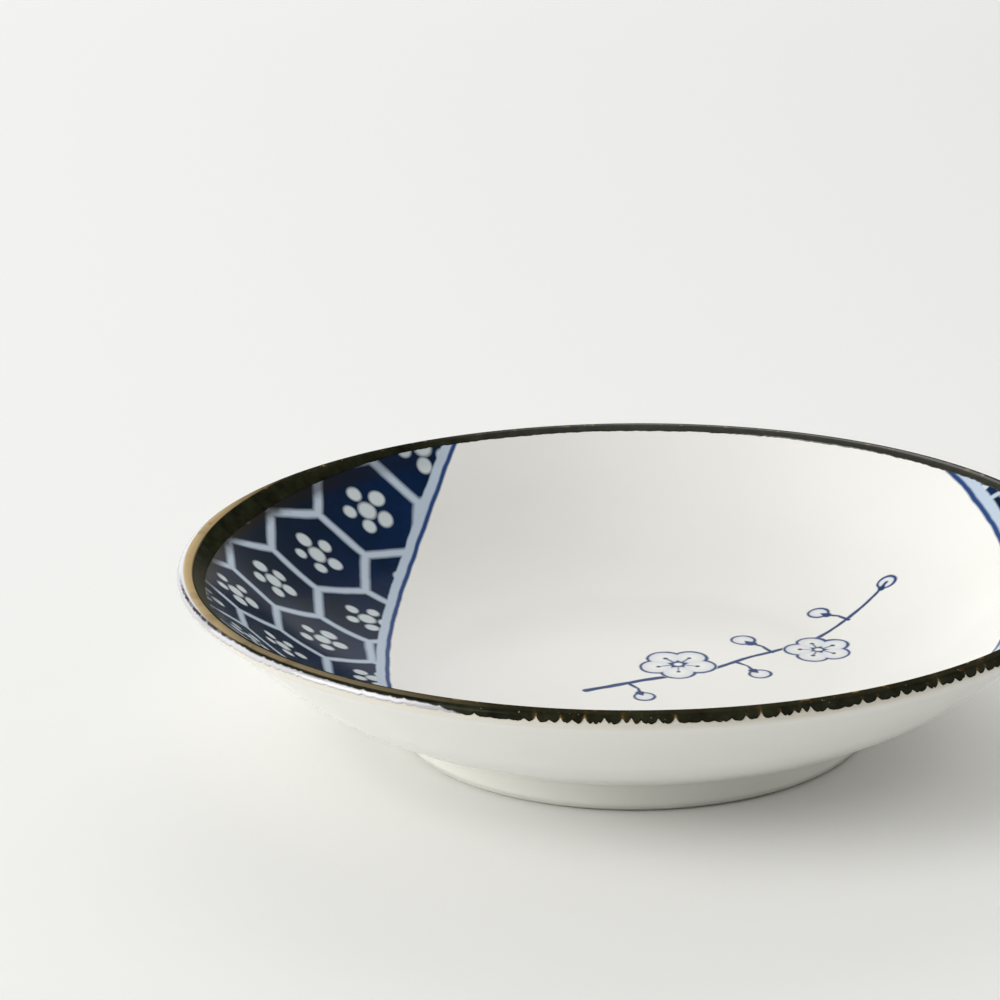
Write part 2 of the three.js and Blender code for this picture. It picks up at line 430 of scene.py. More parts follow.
# A closed piece from its section: points in mm, and numbers for each point
def turnedPiece(name, points, material, numbers=None, sizes=None):
    sectionMesh = bpy.data.meshes.new(name + "Section")
    corners = [(p.x * mm, 0, p.y * mm) for p in points]
    sectionMesh.from_pydata(corners, [(i, i + 1) for i in range(len(corners) - 1)], [])
    walked = [0.0] * len(points)
    for i in range(len(points) - 2, -1, -1):
        walked[i] = walked[i + 1] + (points[i + 1] - points[i]).length * mm
    values = {"alongSection": walked, "pull": [], "slide": [], "acrossBand": [], **(numbers or {})}
    for key, found in values.items():
        layer = sectionMesh.attributes.new(key, "FLOAT", "POINT")
        layer.data.foreach_set("value", found or [0.0] * len(points))
    holder = bpy.data.objects.new(name + "Holder", sectionMesh)
    bpy.context.scene.collection.objects.link(holder)
    modifier = holder.modifiers.new("turn", "NODES")
    modifier.node_group = turnTree
    sockets = {item.name: item.identifier for item in turnTree.interface.items_tree}
    inputs = {"Turns": pieceTurns[name], "Finish": material, **(sizes or {})}
    for key, value in inputs.items():
        modifier[sockets[key]] = value
    graph = bpy.context.evaluated_depsgraph_get()
    mesh = bpy.data.meshes.new_from_object(holder.evaluated_get(graph), depsgraph=graph)
    holder.modifiers.remove(modifier)
    bpy.data.objects.remove(holder)
    mesh.name = name
    piece = bpy.data.objects.new(name, mesh)
    bpy.context.scene.collection.objects.link(piece)
    print(name, len(mesh.polygons), "faces")
    return piece


# Materials

def newFinish(name):
    material = bpy.data.materials.new(name)
    material.use_nodes = True
    tree = material.node_tree
    tree.nodes.clear()
    return material, Wire(tree)


# puts the surface on the material; what varies is linked, and constants stay on the sockets
def surface(wire, constants, varying):
    shader = wire.node("ShaderNodeBsdfPrincipled", {}, {**constants, **varying})
    end = wire.tree.nodes.new("ShaderNodeOutputMaterial")
    wire.tree.links.new(shader.socket, end.inputs["Surface"])


def objectPlace(wire):
    return wire.node("ShaderNodeTexCoord", {}, {}, "Object")


def bump(wire, height, distance, strength):
    sockets = {"Height": height, "Distance": distance, "Strength": strength}
    return wire.node("ShaderNodeBump", {}, sockets, "Normal")


# Clear glaze on white clay
glazeFinish = {
    "white": (0.83, 0.82, 0.78, 1),
    "pooled": (0.735, 0.73, 0.67, 1),     # where the glaze lies thick
    "speck": (0.10, 0.07, 0.04, 1),
    "stainAndShade": (0.64, 0.605, 0.515, 1),     # iron that bled into the glaze under the band, and painted shade under the lip's overhang
    "roughness": 0.16,
    "roughnessSpread": 0.08,
    "ior": 1.5,
    "cloudScale": 55,
    "cloud": (0.4, 0.8),
    "cloudShare": 0.25,
    "specksPerMetre": 70,
    "speckRadius": 0.011,                 # in cells
    "speckSoft": 0.008,
    "speckChance": (0.80, 0.84),          # cells above these levels have a speck
    "rippleScale": 140,
    "ripple": 0.00006,
    "footPool": 0.0052,                   # thick below this height outside
    "footPoolSoft": 0.003,
    "footPoolShare": 0.8,
    "insidePool": 0.1,
    "stainAndShadeRise": (0.0185, 0.0193),
}


# colour of the glaze and the height of its ripple; thick is 0 for thin glaze and 1 for pooled
def glazeBase(wire, thick):
    glaze = glazeFinish
    place = objectPlace(wire)
    cloud = noise(wire, place, glaze["cloudScale"], 3.0).ramp(*glaze["cloud"])
    pooled = (thick + glaze["cloudShare"] * cloud).clamped()
    colour = pooled.mix(glaze["white"], glaze["pooled"])
    sockets = {"Vector": place, "Scale": glaze["specksPerMetre"], "Randomness": 1.0}
    cells = wire.node("ShaderNodeTexVoronoi", {}, sockets)
    chosen = cells.other("Color").parts()[0].ramp(*glaze["speckChance"])
    dot = (cells - glaze["speckRadius"]).inside(glaze["speckSoft"]) * chosen
    colour = dot.mix(colour, glaze["speck"])
    height = noise(wire, place, glaze["rippleScale"])
    return colour, height


def makeOuterGlaze():
    glaze = glazeFinish
    material, wire = newFinish("outerClearGlaze")
    x, y, z = objectPlace(wire).parts()
    thick = (z - glaze["footPool"]).inside(glaze["footPoolSoft"]) * glaze["footPoolShare"]
    colour, height = glazeBase(wire, thick)
    # iron stain and painted shade on the wall just under the band
    colour = z.ramp(*glaze["stainAndShadeRise"]).mix(colour, glaze["stainAndShade"])
    gloss = glaze["roughness"] + glaze["roughnessSpread"] * (height - 0.5)
    constants = {"IOR": glaze["ior"], "Specular IOR Level": 0.5}
    surface(wire, constants, {"Base Color": colour, "Roughness": gloss})
    return material


# Painting inside: two crescent panels with a hexagon ground, and a plum sprig
paintPlan = {
    "leftPanel": {"middle": math.radians(186), "depth": 20, "span": math.radians(132), "tip": 1.2},
    "rightPanel": {"middle": math.radians(-31), "depth": 7, "span": math.radians(118), "tip": 1.2},
    "rimSide": 47.25,
    "lineWidth": 0.5,
    "paleBand": 1.0,
    "soft": 0.22,
    "hexEdge": 8.03,
    "hexTurn": math.radians(8.94),
    "hexPlace": (-34.3, 30.1),
    "hexGrowth": (0.0034, -0.0071),    # cells shrink towards the near side
    "hexBow": 0.0032,
    "latticeHalf": 0.078,              # in hexagon edges
    "petalTurn": math.radians(-78),
    "petalRing": 0.335,
    "petalLong": 0.124,
    "petalWide": 0.128,
    "eye": 0.155,
    "petalUneven": 0.3,
    "petalStray": 0.06,
    "flowerTurn": 0.1,                 # how unevenly the flowers are turned
    "petalSoft": 0.42,
    "paintSoft": 0.075,
    "swayScale": 260,
    "sway": 0.35,                      # how far the brush strays, in mm
    "mottleScale": 420,
    "mottle": (0.35, 0.75),
    "mottleShare": 0.4,
    "washScale": 90,
    "wash": (0.3, 0.7),
    "washShare": 0.35,
    "chanceShare": 0.35,
    "rimDark": (-40, -20),             # darker paint towards the left rim
    "rimDarkLeast": 0.3,
    "brushScale": 330,
    "brushRagged": 0.3,
    "brush": (0.3, 0.7),
    "tintSoft": 0.3,
    "tintFrom": (-1.3, 0.1),           # the petals' wash is stronger at their edge
    "tint": 0.4,
    "bledRadius": (45.6, 46.7),
    "bledRagged": 1.2,
    "bledSide": (0.6, 1.0),            # cosines of the angle to the run inside
    "bled": 0.9,
    "rippleShare": 0.3,
    "gloss": 0.025,
}
paintColours = {
    "night": (0.0008, 0.007, 0.016, 1),
    "cobalt": (0.006, 0.027, 0.105, 1),
    "bled": (0.014, 0.011, 0.006, 1),     # iron that ran from the band over the paint
    "line": (0.026, 0.062, 0.19, 1),
    "pale": (0.47, 0.55, 0.64, 1),
    "petal": (0.575, 0.63, 0.645, 1),
    "wash": (0.36, 0.47, 0.68, 1),
}


def borderCircle(panel):
    tipRadius = paintPlan["rimSide"] - panel["tip"]
    innermost = paintPlan["rimSide"] - panel["depth"]
    half = panel["span"] / 2
    shift = (tipRadius ** 2 - innermost ** 2) / (2 * (innermost - tipRadius * math.cos(half)))
    return -shift * heading(panel["middle"]), innermost + shift


def hexagonGround(wire, drape, side):
    plan = paintPlan
    u, v, unused = drape.parts()
    dx = u * side - plan["hexPlace"][0]
    dy = v * side - plan["hexPlace"][1]
    growth = (1 + plan["hexGrowth"][0] * dx + plan["hexGrowth"][1] * dy) / plan["hexEdge"]
    turnX, turnY = heading(plan["hexTurn"])
    along = dx * turnX + dy * turnY
    over = dy * turnX - dx * turnY + plan["hexBow"] * along * along
    along = along * growth
    over = over * growth
    root = math.sqrt(3)
    nearX = (along + root / 2) % root - root / 2
    nearY = (over + 1.5) % 3.0 - 1.5
    farX = along % root - root / 2
    farY = over % 3.0 - 1.5
    far = hypot(nearX, nearY).math("GREATER_THAN", hypot(nearX, nearY), hypot(farX, farY))
    cellX = far.choose(nearX, farX)
    cellY = far.choose(nearY, farY)
    edge = root / 2 - abs(cellX).most(abs(cellX) * 0.5 + abs(cellY) * (root / 2))
    lattice = (edge - plan["latticeHalf"]).inside(plan["paintSoft"])
    column = wire.math("ROUND", (along - cellX) * (2 / root))
    rank = wire.math("ROUND", (over - cellY) / 1.5)
    cellId = wire.joined(column, rank, 0.0)
    chance = wire.node("ShaderNodeTexWhiteNoise", {"noise_dimensions": "2D"}, {"Vector": cellId})
    fifth = 2 * math.pi / 5
    angle = wire.math("ARCTAN2", cellY, cellX) - plan["petalTurn"] + plan["flowerTurn"] * (chance - 0.5)
    folded = (angle + fifth / 2) % fifth - fifth / 2
    which = wire.math("ROUND", (angle - folded) / fifth) % 5.0
    spread = wire.node("ShaderNodeTexWhiteNoise", {"noise_dimensions": "3D"}, {
        "Vector": wire.joined(column, rank, which),
    }, "Color")
    swell, shift, stretch = spread.parts()
    swell = plan["petalUneven"] * (swell - 0.5) + 1
    far = hypot(cellX, cellY)
    petalX = far * folded.cosine() - plan["petalRing"] - plan["petalStray"] * (shift - 0.5)
    petalY = far * folded.sine() * (1 + plan["petalUneven"] * (stretch - 0.5))
    petal = hypot(petalX / plan["petalLong"], petalY / plan["petalWide"]) - swell
    petal = petal.inside(plan["petalSoft"])
    eye = (far / plan["eye"] - 1).inside(plan["petalSoft"])
    return lattice, petal.most(eye), chance


# distance outside a brush stroke between two points, from one half width to another
def stroke(x, y, start, end, halfStart, halfEnd):
    span = end - start
    fx = x - start.x
    fy = y - start.y
    part = ((fx * span.x + fy * span.y) / span.length_squared).clamped()
    return hypot(fx - part * span.x, fy - part * span.y) - (halfStart + part * (halfEnd - halfStart))


sprigPlan = {
    "start": Vector((-5, -8)),
    "bend": Vector((15, -1)),
    "end": 35.05 * heading(math.radians(31)),
    "stemHalf": (0.42, 0.2),
    "stemKinks": (0.0, 0.45, -0.4, 0.35, -0.45, 0.25, 0.0),     # aside, as plum wood grows
    "twigHalf": (0.26, 0.17),
    "lineHalf": 0.17,
    "budSize": 0.85,                 # of a bud's radius in the plan
    "calyx": 0.5,
    "calyxTip": 0.1,
    "calyxReach": 0.35,              # from the bud's middle, in bud radii
    "elbowPlace": 0.55,              # along a twig
    "elbowOut": 0.35,
    "petalPlace": 0.58,              # these five in blossom radii
    "petalRadius": 0.42,
    "stamenPlace": 0.34,
    "stamenHalf": 0.15,
    "heart": 0.15,
    "petalNarrow": 0.94,
    "stamenThin": 0.1,
    "tipPlace": 0.53,                # in blossom radii
    "tipRadius": 0.27,
    "blossoms": ((0.3, 3, 4.3), (0.66, -2.8, 3.8)),             # along the stem, aside, radius
    "buds": ((0.12, -4, 1.3), (0.44, -4.4, 1.4), (0.56, 5, 1.6), (0.84, 4.4, 1.4), (1, 0, 1.2)),
}


def stemPoint(along):
    a, b, c = sprigPlan["start"], sprigPlan["bend"], sprigPlan["end"]
    return a.lerp(b, along).lerp(b.lerp(c, along), along)


def stemWay(along):
    a, b, c = sprigPlan["start"], sprigPlan["bend"], sprigPlan["end"]
    return (b - a).lerp(c - b, along).normalized()


def stemSide(along, aside):
    way = stemWay(along)
    return stemPoint(along) + aside * Vector((-way.y, way.x))


# distances outside the line work and outside the tinted petals
def sprigInk(wire, x, y):
    plan = sprigPlan
    kinks = plan["stemKinks"]
    steps = len(kinks) - 1
    stops = [stemSide(i / steps, kinks[i]) for i in range(steps + 1)]
    thick, thin = plan["stemHalf"]
    halves = [thick + (thin - thick) * i / steps for i in range(steps + 1)]
    ink = stroke(x, y, stops[0], stops[1], halves[0], halves[1])
    for i in range(1, steps):
        ink = ink.least(stroke(x, y, stops[i], stops[i + 1], halves[i], halves[i + 1]))
    tint = None
    for along, aside, radius in plan["buds"]:
        spot = stemSide(along, aside)
        root = stemPoint(along)
        way = (spot - root).normalized() if aside else stemWay(along)
        size = plan["budSize"] * radius
        seat = spot - size * way
        if aside:
            elbow = root.lerp(seat, plan["elbowPlace"]) + plan["elbowOut"] * stemWay(along)
            ink = ink.least(stroke(x, y, root, elbow, *plan["twigHalf"]))
            ink = ink.least(stroke(x, y, elbow, seat, *plan["twigHalf"][::-1]))
        bud = hypot(x - spot.x, y - spot.y) - size
        ink = ink.least(abs(bud) - plan["lineHalf"])
        calyxEnd = spot - plan["calyxReach"] * size * way
        ink = ink.least(stroke(x, y, seat, calyxEnd, plan["calyx"] * size, plan["calyxTip"]))
        tint = bud if tint is None else tint.least(bud)
    fifth = 2 * math.pi / 5
    for along, aside, radius in plan["blossoms"]:
        spot = stemSide(along, aside)
        fx = x - spot.x
        fy = y - spot.y
        far = hypot(fx, fy)
        angle = wire.math("ARCTAN2", fy, fx) + along
        folded = (angle + fifth / 2) % fifth - fifth / 2
        petalX = far * folded.cosine()
        petalY = far * folded.sine()
        petal = hypot(petalX - plan["petalPlace"] * radius, petalY * plan["petalNarrow"])
        petal = petal - plan["petalRadius"] * radius
        stamen = abs(petalX - plan["stamenPlace"] * radius) - plan["stamenHalf"] * radius
        stamen = (abs(petalY) - plan["stamenThin"]).most(stamen)
        tip = hypot(petalX - plan["tipPlace"] * radius, petalY) - plan["tipRadius"]
        heart = abs(far - plan["heart"] * radius) - plan["lineHalf"]
        clear = petal - plan["lineHalf"]          # the stem passes behind a blossom
        ink = ink.most(-clear).least(abs(petal) - plan["lineHalf"]).least(stamen).least(tip).least(heart)
        tint = tint.least(petal)
    return ink, tint


def makePaintedGlaze():
    plan = paintPlan
    colours = paintColours
    material, wire = newFinish("paintedGlaze")
    place = objectPlace(wire)
    sway = noise(wire, place, plan["swayScale"], 2.0, 0.5, "Color")
    sway = sway.vector("SUBTRACT", (0.5, 0.5, 0.5)).scaled(plan["sway"])
    x, y, z = place.scaled(1 / mm).vector("ADD", sway).parts()
    drape = wire.attribute("drape", "Vector").scaled(1 / mm).vector("ADD", sway)

    borders = []
    for key in ("leftPanel", "rightPanel"):
        centre, radius = borderCircle(plan[key])
        borders.append(hypot(x - centre.x, y - centre.y) - radius)
    border = borders[0].most(borders[1])
    side = 1 - 2 * x.math("GREATER_THAN", x, 0.0)
    lattice, petal, chance = hexagonGround(wire, drape, side)

    mottle = noise(wire, place, plan["mottleScale"], 4.0, 0.6)
    wash = noise(wire, place, plan["washScale"])
    depth = plan["washShare"] * wash.ramp(*plan["wash"]) + plan["chanceShare"] * chance
    depth = (depth + plan["mottleShare"] * mottle.ramp(*plan["mottle"])).clamped()
    least = plan["rimDarkLeast"]
    depth = depth * (least + (1 - least) * x.ramp(*plan["rimDark"]))
    tile = depth.mix(colours["night"], colours["cobalt"])
    ground = petal.mix(tile, colours["petal"])
    ground = lattice.mix(ground, colours["pale"])
    inner = plan["lineWidth"] + plan["paleBand"]
    paint = (inner - border).inside(plan["soft"]).mix(colours["pale"], ground)
    paint = (plan["lineWidth"] - border).inside(plan["soft"]).mix(colours["line"], paint)

    colour, height = glazeBase(wire, glazeFinish["insidePool"])
    ink, tint = sprigInk(wire, x, y)
    brush = noise(wire, place, plan["brushScale"])
    ink = ink + plan["brushRagged"] * (brush - 0.5)
    inked = brush.ramp(*plan["brush"]).mix(colours["line"], colours["cobalt"])
    washed = tint.inside(plan["tintSoft"]) * tint.ramp(*plan["tintFrom"]) * plan["tint"]
    colour = washed.mix(colour, colours["wash"])
    colour = ink.inside(plan["soft"]).mix(colour, inked)
    colour = (-border).inside(plan["soft"]).mix(colour, paint)
    runX, runY = heading(bandRuns["Run Middle"])
    reach = hypot(x, y)
    runSide = ((x * runX + y * runY) / reach).ramp(*plan["bledSide"])
    bled = (reach + plan["bledRagged"] * (mottle - 0.5)).ramp(*plan["bledRadius"]) * runSide
    colour = (bled * plan["bled"]).mix(colour, colours["bled"])
    constants = {
        "Roughness": glazeFinish["roughness"],
        "IOR": glazeFinish["ior"],
        "Specular IOR Level": plan["gloss"],
    }
    surface(wire, constants, {
        "Base Color": colour,
        "Normal": bump(wire, height, glazeFinish["ripple"], plan["rippleShare"]),
    })
    return material


# Iron-brown band over the lip
bandForm = {
    "outside": math.radians(0),      # where the beads end, above level on the lip
    "proud": 0.075,
    "beadProud": 0.1,
    "back": 0.003,
    # the rolled edge: degrees above its end, and how proud it is as a share of a bead
    "edgeRows": ((-1.5, 0.2), (-0.5, 0.5), (2, 0.8), (5, 0.95), (9, 1.0), (14, 0.95)),
    "overRows": 12,
    "beadFade": math.radians(48),    # the beads' pull fades out over this angle above the edge
    # the inner edge: mm down the wall, share of the band's thickness, and how far it gives to the wave
    "innerRows": ((0.25, 1, 0.3), (0.45, 0.85, 0.8), (0.56, 0.55, 1), (0.6, 0.04, 1)),
}
# beads and runs, by the names of the turn's inputs
bandRuns = {
    "Bead Spacing": 1.3 * mm,
    "Bead Round": 0.58,              # of a bead's mean width
    "Small Beads": 0.5,              # how deep the notches between small beads are
    "Notch Depth": 0.74,             # as an angle round the lip
    "Near Left": math.radians(205),
    "Near Left Calm": 0.65,               # how much shallower the notches are on the near left side
    "Ragged": 0.26,
    "Inner Wave": 0.32 * mm,
    "Inner Run": 1.6 * mm,           # the glaze ran further down inside on the left
    "Run Middle": math.radians(172),
}
bandFinish = {
    "dark": (0.009, 0.0095, 0.005, 1),
    "olive": (0.025, 0.026, 0.013, 1),
    "brown": (0.065, 0.05, 0.026, 1),
    "umber": (0.25, 0.195, 0.115, 1),     # a worn lip on the near left
    "gold": (0.34, 0.19, 0.05, 1),
    # painted highlights for small specks on the band
    "paintedGlint": (0.60, 0.58, 0.50, 1),
    "edge": (0.004, 0.003, 0.0025, 1),
    "rust": (0.20, 0.095, 0.015, 1),
    "tan": (0.52, 0.385, 0.20, 1),        # where the glaze wore thin on the lip
    "seam": (0.035, 0.027, 0.02, 1),      # painted reflection on the lip's inner face on the near left
    "run": (0.10, 0.098, 0.076, 1),       # a darker line between the painted reflection low on the left and the tan
    "thin": (0.54, 0.53, 0.555, 1),       # painted reflection of the left lamps: lavender-white low on the lip's outer face on the near left
    "tanSide": math.radians(184),
    "farSide": math.radians(65),          # glossier inside the lip here
    "roughness": 0.14,
}


def bandSection():
    band = bandForm
    start = band["outside"]
    crest = band["beadProud"]
    proud = band["proud"]
    back = band["back"]
    rows = [(start + math.radians(step), share * crest, 1.0) for step, share in band["edgeRows"]]
    first, edgeLift = rows[-1][:2]
    for i in range(1, band["overRows"] + 1):
        angle = first + (inwards - first) * i / band["overRows"]
        hold = max(0.0, 1 - (angle - first) / band["beadFade"])
        rows.append((angle, proud + (edgeLift - proud) * hold, hold))
    points = [lipCentre + (lipRadius + lift) * heading(angle) for angle, lift, hold in rows]
    pull = [hold for angle, lift, hold in rows]
    slide = [0.0] * len(rows)
    away = heading(wallSlope)
    square = heading(inwards)
    for down, share, give in band["innerRows"]:
        points.append(wallTop - down * away + share * proud * square)
        pull.append(0.0)
        slide.append(give)
    backRows = [rows[i] for i in range(len(rows) - 1, -1, -3)]
    for angle, lift, hold in backRows:
        points.append(lipCentre + (lipRadius + back) * heading(angle))
        pull.append(hold)
        slide.append(0.0)
    points.append(points[0].copy())
    pull.append(pull[0])
    slide.append(0.0)
    walked = [0.0]
    front = len(points) - len(backRows) - 1
    for i in range(1, front):
        walked.append(walked[-1] + (points[i] - points[i - 1]).length)
    across = [step / walked[-1] for step in walked]
    across += [across[-1] * (1 - i / len(backRows)) for i in range(len(backRows))] + [0.0]
    return points, {"pull": pull, "slide": slide, "acrossBand": across}


# Marks on the band: a place across it, from 0 at its outer edge to 1 inside, comes with a half width
# where the mark has one, and with the softness of its edge; reaches are in metres
bandMarks = {
    "cloudScale": 520,
    "cloud": (0.35, 0.7),
    "streakScale": 900,
    "spotScale": 1300,
    "rustNotch": (0.4, 0.9),
    "rustStreak": (0.44, 0.6),
    "rustSpot": (0.42, 0.6),
    "rustBelow": (0.5, 0.3),
    "rust": 0.35,
    "tanReach": (0.040, 0.049),
    "tanShift": 0.24,     # the marks lie further in on the tanned side
    "meet": (0.05, 0.3),
    "meetShift": 0.065,     # the tan spreads down to the pale place
    "crest": 0.465,
    "crestHalf": 0.105,
    "crestSoft": 0.05,
    "brown": 0.2,
    "wearScale": 160,
    "wear": (0.15, 0.45),
    "umberReach": (0.032, 0.045),
    "umber": 0.8,
    "insideReflectionAbove": (0.81, 0.06),
    "insideReflectionReach": (-0.002, 0.018),
    # painted reflection of the left lamps, low on the near left: its steps, its reach and its strength
    "paintedReflectionSteps": ((0.2, 0.0342, 0.0368), (0.03, 0.040, 0.0435)),     # its height rises in two steps
    "paintedReflectionReach": (0.0335, 0.0355),
    "pale": 0.85,
    "seam": (0.295, 0.055, 0.04),
    "seamReach": (0.0085, 0.015),
    "seamStreak": (0.4, 0.52),
    "seamLeast": 0.7,
    "seamShare": 0.95,
    "gold": (0.6, 0.08, 0.08),
    "goldScale": 700,
    "goldChance": (0.58, 0.64),
    "goldSpot": (0.4, 0.55),
    "goldShare": 0.7,
    "paintedGlintScale": 2600,
    "paintedGlintChance": (0.75, 0.79),
    "paintedGlintBelow": (0.7, 0.1),
    "paintedGlintShare": 0.3,
    "rolledBelow": (0.05, 0.06),
    "apexNotch": (0.6, 0.95),
    "apexStreak": (0.44, 0.54),
    "apexBelow": (0.1, 0.12),
    "apexShare": 0.55,
    "sheenReach": (0.026, 0.045),
    "sheenAbove": (0.6, 0.1),
    "sheen": 0.8,
    "glintBelow": (0.29, 0.06),
    "glint": 0.06,
    "glossReach": (0.033, 0.042),
    "glossSoft": 0.06,
    "rippleScale": 700,
    "ripple": 0.00005,
    "rippleShare": 0.4,
}


def makeIronBand():
    colours = bandFinish
    marks = bandMarks
    material, wire = newFinish("ironBrownGlaze")
    place = objectPlace(wire)
    x, y, z = place.parts()
    across = wire.attribute("acrossBand")
    notch = wire.attribute("notch")

    def below(mark):
        edge, soft = marks[mark]
        return (across - edge).inside(soft)

    def above(mark):
        edge, soft = marks[mark]
        return (edge - across).inside(soft)

    def along(mark):
        middle, half, soft = marks[mark]
        return (abs(across - middle) - half).inside(soft)

    cloud = noise(wire, place, marks["cloudScale"], 4.0, 0.6)
    colour = cloud.ramp(*marks["cloud"]).mix(colours["dark"], colours["olive"])
    flat = wire.joined(x, y, 0.0)
    streak = noise(wire, flat, marks["streakScale"])
    spots = noise(wire, place, marks["spotScale"])
    rusty = notch.ramp(*marks["rustNotch"]) * streak.ramp(*marks["rustStreak"])
    rusty = rusty * spots.ramp(*marks["rustSpot"]) * below("rustBelow")
    colour = (rusty * marks["rust"]).mix(colour, colours["rust"])

    # the worn crest: umber on the near left, tan on the far left
    leftX, leftY = heading(bandRuns["Near Left"])
    left = x * leftX + y * leftY
    tanX, tanY = heading(colours["tanSide"])
    tanned = (x * tanX + y * tanY).ramp(*marks["tanReach"])
    meet = tanned.ramp(*marks["meet"])
    fromCrest = across - marks["crest"] - marks["tanShift"] * tanned + marks["meetShift"] * meet
    crest = abs(fromCrest) - marks["crestHalf"] - marks["meetShift"] * meet
    crest = crest.inside(marks["crestSoft"])
    colour = (crest * marks["brown"]).mix(colour, colours["brown"])
    worn = crest * noise(wire, place, marks["wearScale"], 3.0).ramp(*marks["wear"])
    colour = (worn * left.ramp(*marks["umberReach"]) * marks["umber"]).mix(colour, colours["umber"])
    colour = (worn * tanned).mix(colour, colours["tan"])
    # painted reflection: a lighter olive-grey on the lip's inner face on the near left
    run = above("insideReflectionAbove") * tanned * (-y).ramp(*marks["insideReflectionReach"])
    colour = run.mix(colour, colours["run"])

    golden = along("gold") * noise(wire, flat, marks["goldScale"], 3.0).ramp(*marks["goldChance"])
    colour = (golden * spots.ramp(*marks["goldSpot"]) * marks["goldShare"]).mix(colour, colours["gold"])
    # painted highlights: tiny pale specks over the band's lower part
    paintedGlint = noise(wire, place, marks["paintedGlintScale"], 1.0).ramp(*marks["paintedGlintChance"])
    colour = (paintedGlint * below("paintedGlintBelow") * marks["paintedGlintShare"]).mix(colour, colours["paintedGlint"])
    colour = below("rolledBelow").mix(colour, colours["edge"])

    # the painted reflection of the left lamps, a lavender-white place low on the near left, and the dark
    # line between it and the tan
    low = across - marks["tanShift"] * tanned
    for rise, near, far in marks["paintedReflectionSteps"]:
        low = low - rise * left.ramp(near, far)
    pale = low.inside(marks["crestSoft"]) * left.ramp(*marks["paintedReflectionReach"])
    colour = (pale * marks["pale"]).mix(colour, colours["thin"])
    least = marks["seamLeast"]
    broken = least + (1 - least) * streak.ramp(*marks["seamStreak"])
    seam = along("seam") * meet * (-y).ramp(*marks["seamReach"]) * broken
    colour = (seam * marks["seamShare"]).mix(colour, colours["seam"])
    apex = notch.ramp(*marks["apexNotch"]) * streak.ramp(*marks["apexStreak"])
    colour = (apex * below("apexBelow") * marks["apexShare"]).mix(colour, colours["gold"])

    farX, farY = heading(colours["farSide"])
    sheen = (x * farX + y * farY).ramp(*marks["sheenReach"]) * above("sheenAbove")
    gloss = low.inside(marks["glossSoft"]) * left.ramp(*marks["glossReach"]) * (1 - seam)
    gloss = gloss + marks["glint"] * below("glintBelow") + marks["sheen"] * sheen
    height = noise(wire, place, marks["rippleScale"], 3.0)
    constants = {
        "Roughness": colours["roughness"],
        "IOR": 1.55,
        "Specular IOR Level": 0.0,
        "Coat IOR": 1.7,
        "Coat Roughness": 0.06,
    }
    surface(wire, constants, {
        "Base Color": colour,
        "Coat Weight": gloss,
        "Normal": bump(wire, height, marks["ripple"], marks["rippleShare"]),
    })
    return material


# Bare clay of the foot ring
clayFinish = {
    "pale": (0.72, 0.71, 0.64, 1),
    "worn": (0.58, 0.55, 0.48, 1),
    "contactShade": (0.16, 0.155, 0.13, 1),      # painted contact shade along the foot's outer resting edge, less on the lit left
    "roughness": 0.75,
    "grainScale": 1600,
    "grainShare": 0.35,
    "grainHeight": 0.00006,
    "grainStrength": 0.6,
    "scuffScale": 130,
    "scuff": (0.35, 0.7),
    "scuffBelow": 0.0002,
    "scuffSoft": 0.0004,
    "scuffShare": 0.6,
    "contactShadeBelow": 0.00025,
    "contactShadeSoft": 0.0002,
    "contactShadeRadius": (0.026, 0.0263),
    "contactShadeFade": (-0.021, 0.0),
    "contactShadeShare": 0.85,
}


def makeBareClay():
    clay = clayFinish
    material, wire = newFinish("bareClay")
    place = objectPlace(wire)
    x, y, z = place.parts()
    grain = noise(wire, place, clay["grainScale"], 4.0, 0.65)
    cloud = noise(wire, place, clay["scuffScale"], 3.0).ramp(*clay["scuff"])
    scuff = (z - clay["scuffBelow"]).inside(clay["scuffSoft"]) * cloud
    wear = (clay["grainShare"] * grain + clay["scuffShare"] * scuff).clamped()
    colour = wear.mix(clay["pale"], clay["worn"])
    # painted shade where the foot's outer edge meets the table, fading out towards the left
    contactShade = (z - clay["contactShadeBelow"]).inside(clay["contactShadeSoft"]) * hypot(x, y).ramp(*clay["contactShadeRadius"])
    contactShade = contactShade * x.ramp(*clay["contactShadeFade"]) * clay["contactShadeShare"]
    colour = contactShade.mix(colour, clay["contactShade"])
    surface(wire, {"Roughness": clay["roughness"]}, {
        "Base Color": colour,
        "Normal": bump(wire, grain, clay["grainHeight"], clay["grainStrength"]),
    })
    return material


outerGlazeFinish = makeOuterGlaze()
paintedFinish = makePaintedGlaze()
bandGlazeFinish = makeIronBand()
clayBodyFinish = makeBareClay()
print("finishes made")

# Pieces
lipTop = quarter


# the coat rounds off at its end on the foot
def thinned(points):
    first = points[0]
    lowest = first.y + dish["glazeEdge"]
    clear = footRadius + dish["coatClear"]
    end = [first + Vector((onClay * share, up)) for share, up in dish["coatEnd"]]
    return end + [p for p in points if p.y > lowest or p.x > clear]


outerSkin = thinned(upOutside(0, lipTop, sectionSteps["outerFine"]))
outerBack = upOutside(onClay, lipTop)[::-1]
outerPoints = outerSkin + outerBack + [outerSkin[0]]

clayPoints = (
    underBase(onClay)
    + underFoot()[1:-1]
    + upOutside(onClay, lipTop)
    + downInside(onClay, lipTop)[1:]
)
innerSkin = downInside(0, lipTop)
innerBack = downInside(onClay, lipTop)[::-1]
innerPoints = innerBack + innerSkin
baseSkin = underBase(0)
basePoints = baseSkin + underBase(onClay)[::-1]
bandPoints, bandNumbers = bandSection()

